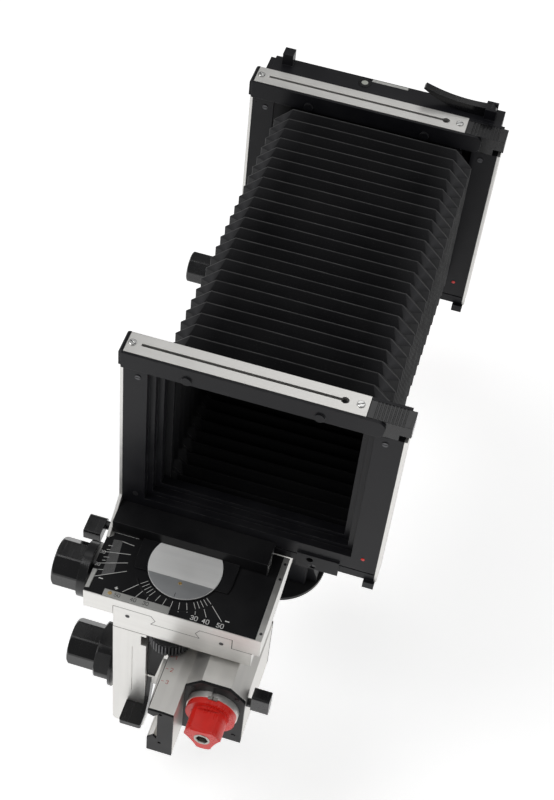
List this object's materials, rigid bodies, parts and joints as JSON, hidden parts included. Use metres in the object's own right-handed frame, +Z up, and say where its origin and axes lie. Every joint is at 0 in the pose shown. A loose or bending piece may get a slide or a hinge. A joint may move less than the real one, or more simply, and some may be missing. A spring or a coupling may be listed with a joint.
{
  "type": "large format view camera",
  "caption": "Monorail view camera: geared front and rear standards with rise, shift, tilt and swing, a pleated bellows and a ground-glass back, on a round rail with a tripod clamp.",
  "frame": {"origin": "centre of the underside of the round tripod plate", "axes": "+Z up, +Y along the rail from the lens side to the ground glass, +X to the right seen from the lens side"},
  "size_m": [0.2288, 0.499, 0.3375],
  "materials": {
    "satin_aluminium": "satin anodised",
    "pale_aluminium": "fine satin anodised",
    "black_paint": "semi-gloss black",
    "black_plastic": "gloss black",
    "red_plastic": "gloss red",
    "bright_steel": "turned and slotted",
    "dark_steel": "blackened and toothed",
    "bellows_cloth": "coated pleated cloth",
    "ground_glass": "finely ground",
    "level_glass": "clear spirit level"
  },
  "bodies": {
    "tripod": {"tripod_plate": "black_paint", "tripod_clamp": "black_paint"},
    "tripod_jaw": {"tripod_jaw": "black_paint"},
    "tripod_lever": {"tripod_lever": "black_plastic"},
    "rail": {"rail": "satin_aluminium", "bellows": "bellows_cloth"},
    "front_cap": {"front_rail_cap": "red_plastic"},
    "rear_cap": {"rear_rail_cap": "red_plastic"},
    "front_clamp": {"front_clamp_block": "satin_aluminium", "front_end_plates": "black_paint", "front_focus_track": "satin_aluminium"},
    "front_clamp_lever": {"front_clamp_lever": "black_plastic"},
    "front_carriage": {"front_carriage": "black_paint"},
    "front_focus_knob": {"front_focus_knob": "black_plastic"},
    "front_rise_knob": {"front_rise_knob": "black_plastic"},
    "front_rise_lever": {"front_rise_lever": "black_plastic"},
    "front_column": {"front_column": "satin_aluminium"},
    "front_shift_wheel": {"front_shift_wheel": "dark_steel"},
    "front_cross_plate": {"front_cross_plate": "satin_aluminium"},
    "front_tilt_knob": {"front_tilt_knob": "black_plastic"},
    "front_tilt_lever": {"front_tilt_lever": "black_plastic"},
    "front_lock_grip": {"front_lock_grip": "black_plastic"},
    "front_board_lock": {"front_board_lock": "black_paint"},
    "front_tray": {"front_tray": "satin_aluminium", "front_tray_floor": "black_paint"},
    "front_frame": {"front_swing_carrier": "black_paint", "front_swing_index": "pale_aluminium", "front_frame": "black_paint", "front_frame_trim": "satin_aluminium", "front_frame_screws": "bright_steel", "front_bellows_plate": "black_paint"},
    "rear_clamp": {"rear_clamp_block": "satin_aluminium", "rear_end_plates": "black_paint", "rear_focus_track": "satin_aluminium"},
    "rear_clamp_lever": {"rear_clamp_lever": "black_plastic"},
    "rear_carriage": {"rear_carriage": "black_paint"},
    "rear_focus_knob": {"rear_focus_knob": "black_plastic"},
    "rear_rise_knob": {"rear_rise_knob": "black_plastic"},
    "rear_rise_lever": {"rear_rise_lever": "black_plastic"},
    "rear_column": {"rear_column": "satin_aluminium"},
    "rear_shift_wheel": {"rear_shift_wheel": "dark_steel"},
    "rear_cross_plate": {"rear_cross_plate": "satin_aluminium"},
    "rear_tilt_knob": {"rear_tilt_knob": "black_plastic"},
    "rear_tilt_lever": {"rear_tilt_lever": "black_plastic"},
    "rear_lock_grip": {"rear_lock_grip": "black_plastic"},
    "rear_board_lock": {"rear_board_lock": "black_paint"},
    "rear_tray": {"rear_tray": "satin_aluminium", "rear_tray_floor": "black_paint"},
    "rear_frame": {"rear_swing_carrier": "black_paint", "rear_swing_index": "pale_aluminium", "rear_frame": "black_paint", "rear_frame_trim": "satin_aluminium", "rear_frame_screws": "bright_steel", "rear_bellows_plate": "black_paint", "back_frame": "black_paint", "back_level": "level_glass"},
    "glass_holder": {"glass_frame": "black_paint", "ground_glass": "ground_glass"},
    "back_lever": {"back_lever": "black_plastic"},
    "depth_knob": {"depth_knob": "black_plastic"}
  },
  "joints": [
    {"name": "rail_travel", "type": "slide", "parent": "tripod", "child": "rail", "axis": [0, 1, 0], "range_m": [-0.03, 0.03]},
    {"name": "jaw_open", "type": "hinge", "parent": "tripod", "child": "tripod_jaw", "pos_m": [-0.0271, 0, 0.063], "axis": [0, -1, 0], "range_deg": [0, 100]},
    {"name": "tripod_lever_turn", "type": "hinge", "parent": "tripod", "child": "tripod_lever", "pos_m": [0.034, 0, 0.04], "axis": [1, 0, 0], "range_deg": [0, 80]},
    {"name": "front_cap_turn", "type": "hinge", "parent": "rail", "child": "front_cap", "pos_m": [0, -0.18, 0.063], "axis": [0, 1, 0], "range_deg": [0, 60]},
    {"name": "rear_cap_turn", "type": "hinge", "parent": "rail", "child": "rear_cap", "pos_m": [0, 0.2914, 0.063], "axis": [0, 1, 0], "range_deg": [0, 60]},
    {"name": "front_focus_coarse", "type": "slide", "parent": "rail", "child": "front_clamp", "axis": [0, 1, 0], "range_m": [0, 0.02], "deforming": ["bellows"]},
    {"name": "front_clamp_lever_turn", "type": "hinge", "parent": "front_clamp", "child": "front_clamp_lever", "pos_m": [0.0295, -0.16, 0.066], "axis": [1, 0, 0], "range_deg": [0, 75]},
    {"name": "front_focus_fine", "type": "slide", "parent": "front_clamp", "child": "front_carriage", "axis": [0, 1, 0], "range_m": [-0.006, 0.006], "deforming": ["bellows"]},
    {"name": "front_focus_knob_turn", "type": "hinge", "parent": "front_carriage", "child": "front_focus_knob", "pos_m": [-0.087, -0.127, 0.021], "axis": [1, 0, 0], "range_deg": [-60, 60]},
    {"name": "front_rise", "type": "slide", "parent": "front_carriage", "child": "front_column", "axis": [0, 0, 1], "range_m": [0, 0.02], "deforming": ["bellows"]},
    {"name": "front_rise_knob_turn", "type": "hinge", "parent": "front_carriage", "child": "front_rise_knob", "pos_m": [-0.103, -0.127, 0.021], "axis": [1, 0, 0], "range_deg": [-160, 160]},
    {"name": "front_rise_lever_turn", "type": "hinge", "parent": "front_carriage", "child": "front_rise_lever", "pos_m": [-0.0522, -0.1403, 0.0305], "axis": [-1, 0, 0], "range_deg": [0, 50]},
    {"name": "front_shift", "type": "slide", "parent": "front_column", "child": "front_cross_plate", "axis": [1, 0, 0], "range_m": [-0.015, 0.015], "deforming": ["bellows"]},
    {"name": "front_shift_wheel_turn", "type": "hinge", "parent": "front_column", "child": "front_shift_wheel", "pos_m": [-0.0408, -0.1365, 0.083], "axis": [0, 0, 1], "range_deg": [-60, 60]},
    {"name": "front_tilt", "type": "hinge", "parent": "front_cross_plate", "child": "front_tray", "pos_m": [-0.0404, -0.1144, 0.2095], "axis": [1, 0, 0], "range_deg": [-10, 10], "deforming": ["bellows"]},
    {"name": "front_tilt_knob_turn", "type": "hinge", "parent": "front_tray", "child": "front_tilt_knob", "pos_m": [-0.114, -0.124, 0.111], "axis": [1, 0, 0], "range_deg": [-150, 150]},
    {"name": "front_tilt_lever_turn", "type": "hinge", "parent": "front_tray", "child": "front_tilt_lever", "pos_m": [-0.109, -0.089, 0.1135], "axis": [1, 0, 0], "range_deg": [-45, 45]},
    {"name": "front_swing", "type": "hinge", "parent": "front_tray", "child": "front_frame", "pos_m": [-0.0404, -0.1116, 0.123], "axis": [0, 0, 1], "range_deg": [-10, 10], "deforming": ["bellows"]},
    {"name": "front_lock_grip_travel", "type": "slide", "parent": "front_frame", "child": "front_lock_grip", "axis": [1, 0, 0], "range_m": [0, 0.006]},
    {"name": "front_board_lock_travel", "type": "slide", "parent": "front_frame", "child": "front_board_lock", "axis": [0, 0, 1], "range_m": [0, 0.005]},
    {"name": "rear_focus_coarse", "type": "slide", "parent": "rail", "child": "rear_clamp", "axis": [0, -1, 0], "range_m": [0, 0.02], "deforming": ["bellows"]},
    {"name": "rear_clamp_lever_turn", "type": "hinge", "parent": "rear_clamp", "child": "rear_clamp_lever", "pos_m": [0.0295, 0.2714, 0.066], "axis": [-1, 0, 0], "range_deg": [0, 75]},
    {"name": "rear_focus_fine", "type": "slide", "parent": "rear_clamp", "child": "rear_carriage", "axis": [0, 1, 0], "range_m": [-0.006, 0.006], "deforming": ["bellows"]},
    {"name": "rear_focus_knob_turn", "type": "hinge", "parent": "rear_carriage", "child": "rear_focus_knob", "pos_m": [-0.087, 0.2384, 0.021], "axis": [1, 0, 0], "range_deg": [-60, 60]},
    {"name": "rear_rise", "type": "slide", "parent": "rear_carriage", "child": "rear_column", "axis": [0, 0, 1], "range_m": [-0.01, 0.01], "deforming": ["bellows"]},
    {"name": "rear_rise_knob_turn", "type": "hinge", "parent": "rear_carriage", "child": "rear_rise_knob", "pos_m": [-0.103, 0.2384, 0.021], "axis": [1, 0, 0], "range_deg": [-160, 160]},
    {"name": "rear_rise_lever_turn", "type": "hinge", "parent": "rear_carriage", "child": "rear_rise_lever", "pos_m": [-0.0522, 0.2517, 0.0305], "axis": [1, 0, 0], "range_deg": [0, 50]},
    {"name": "rear_shift", "type": "slide", "parent": "rear_column", "child": "rear_cross_plate", "axis": [1, 0, 0], "range_m": [-0.015, 0.015], "deforming": ["bellows"]},
    {"name": "rear_shift_wheel_turn", "type": "hinge", "parent": "rear_column", "child": "rear_shift_wheel", "pos_m": [-0.0408, 0.2479, 0.094], "axis": [0, 0, 1], "range_deg": [-60, 60]},
    {"name": "rear_tilt", "type": "hinge", "parent": "rear_cross_plate", "child": "rear_tray", "pos_m": [-0.0369, 0.2258, 0.2205], "axis": [1, 0, 0], "range_deg": [-10, 10], "deforming": ["bellows"]},
    {"name": "rear_tilt_knob_turn", "type": "hinge", "parent": "rear_tray", "child": "rear_tilt_knob", "pos_m": [0.0422, 0.2354, 0.122], "axis": [1, 0, 0], "range_deg": [-150, 150]},
    {"name": "rear_tilt_lever_turn", "type": "hinge", "parent": "rear_tray", "child": "rear_tilt_lever", "pos_m": [0.0372, 0.2004, 0.1245], "axis": [-1, 0, 0], "range_deg": [-45, 45]},
    {"name": "rear_swing", "type": "hinge", "parent": "rear_tray", "child": "rear_frame", "pos_m": [-0.0369, 0.223, 0.134], "axis": [0, 0, 1], "range_deg": [-10, 10], "deforming": ["bellows"]},
    {"name": "rear_lock_grip_travel", "type": "slide", "parent": "rear_frame", "child": "rear_lock_grip", "axis": [1, 0, 0], "range_m": [0, 0.006]},
    {"name": "rear_board_lock_travel", "type": "slide", "parent": "rear_frame", "child": "rear_board_lock", "axis": [0, 0, 1], "range_m": [0, 0.005]},
    {"name": "glass_holder_travel", "type": "slide", "parent": "rear_frame", "child": "glass_holder", "axis": [0, 1, 0], "range_m": [0, 0.012]},
    {"name": "back_lever_turn", "type": "hinge", "parent": "rear_frame", "child": "back_lever", "pos_m": [0.07, 0.1999, 0.2985], "axis": [0, 1, 0], "range_deg": [0, 30]},
    {"name": "depth_knob_turn", "type": "hinge", "parent": "rear_carriage", "child": "depth_knob", "pos_m": [-0.11, 0.222, 0.051], "axis": [1, 0, 0], "range_deg": [-150, 150]}
  ],
  "couplings": [
    {"joint": "front_focus_knob_turn", "follows": "front_focus_fine", "rad_per_m": 156},
    {"joint": "front_rise_knob_turn", "follows": "front_rise", "rad_per_m": 125},
    {"joint": "front_shift_wheel_turn", "follows": "front_shift", "rad_per_m": 62},
    {"joint": "front_tilt_knob_turn", "follows": "front_tilt", "ratio": 15},
    {"joint": "front_board_lock_travel", "follows": "front_lock_grip_travel", "ratio": 0.8},
    {"joint": "rear_focus_knob_turn", "follows": "rear_focus_fine", "rad_per_m": 156},
    {"joint": "rear_rise_knob_turn", "follows": "rear_rise", "rad_per_m": 125},
    {"joint": "rear_shift_wheel_turn", "follows": "rear_shift", "rad_per_m": -62},
    {"joint": "rear_tilt_knob_turn", "follows": "rear_tilt", "ratio": 15},
    {"joint": "rear_board_lock_travel", "follows": "rear_lock_grip_travel", "ratio": 0.8},
    {"joint": "back_lever_turn", "follows": "glass_holder_travel", "rad_per_m": 43.6}
  ]
}
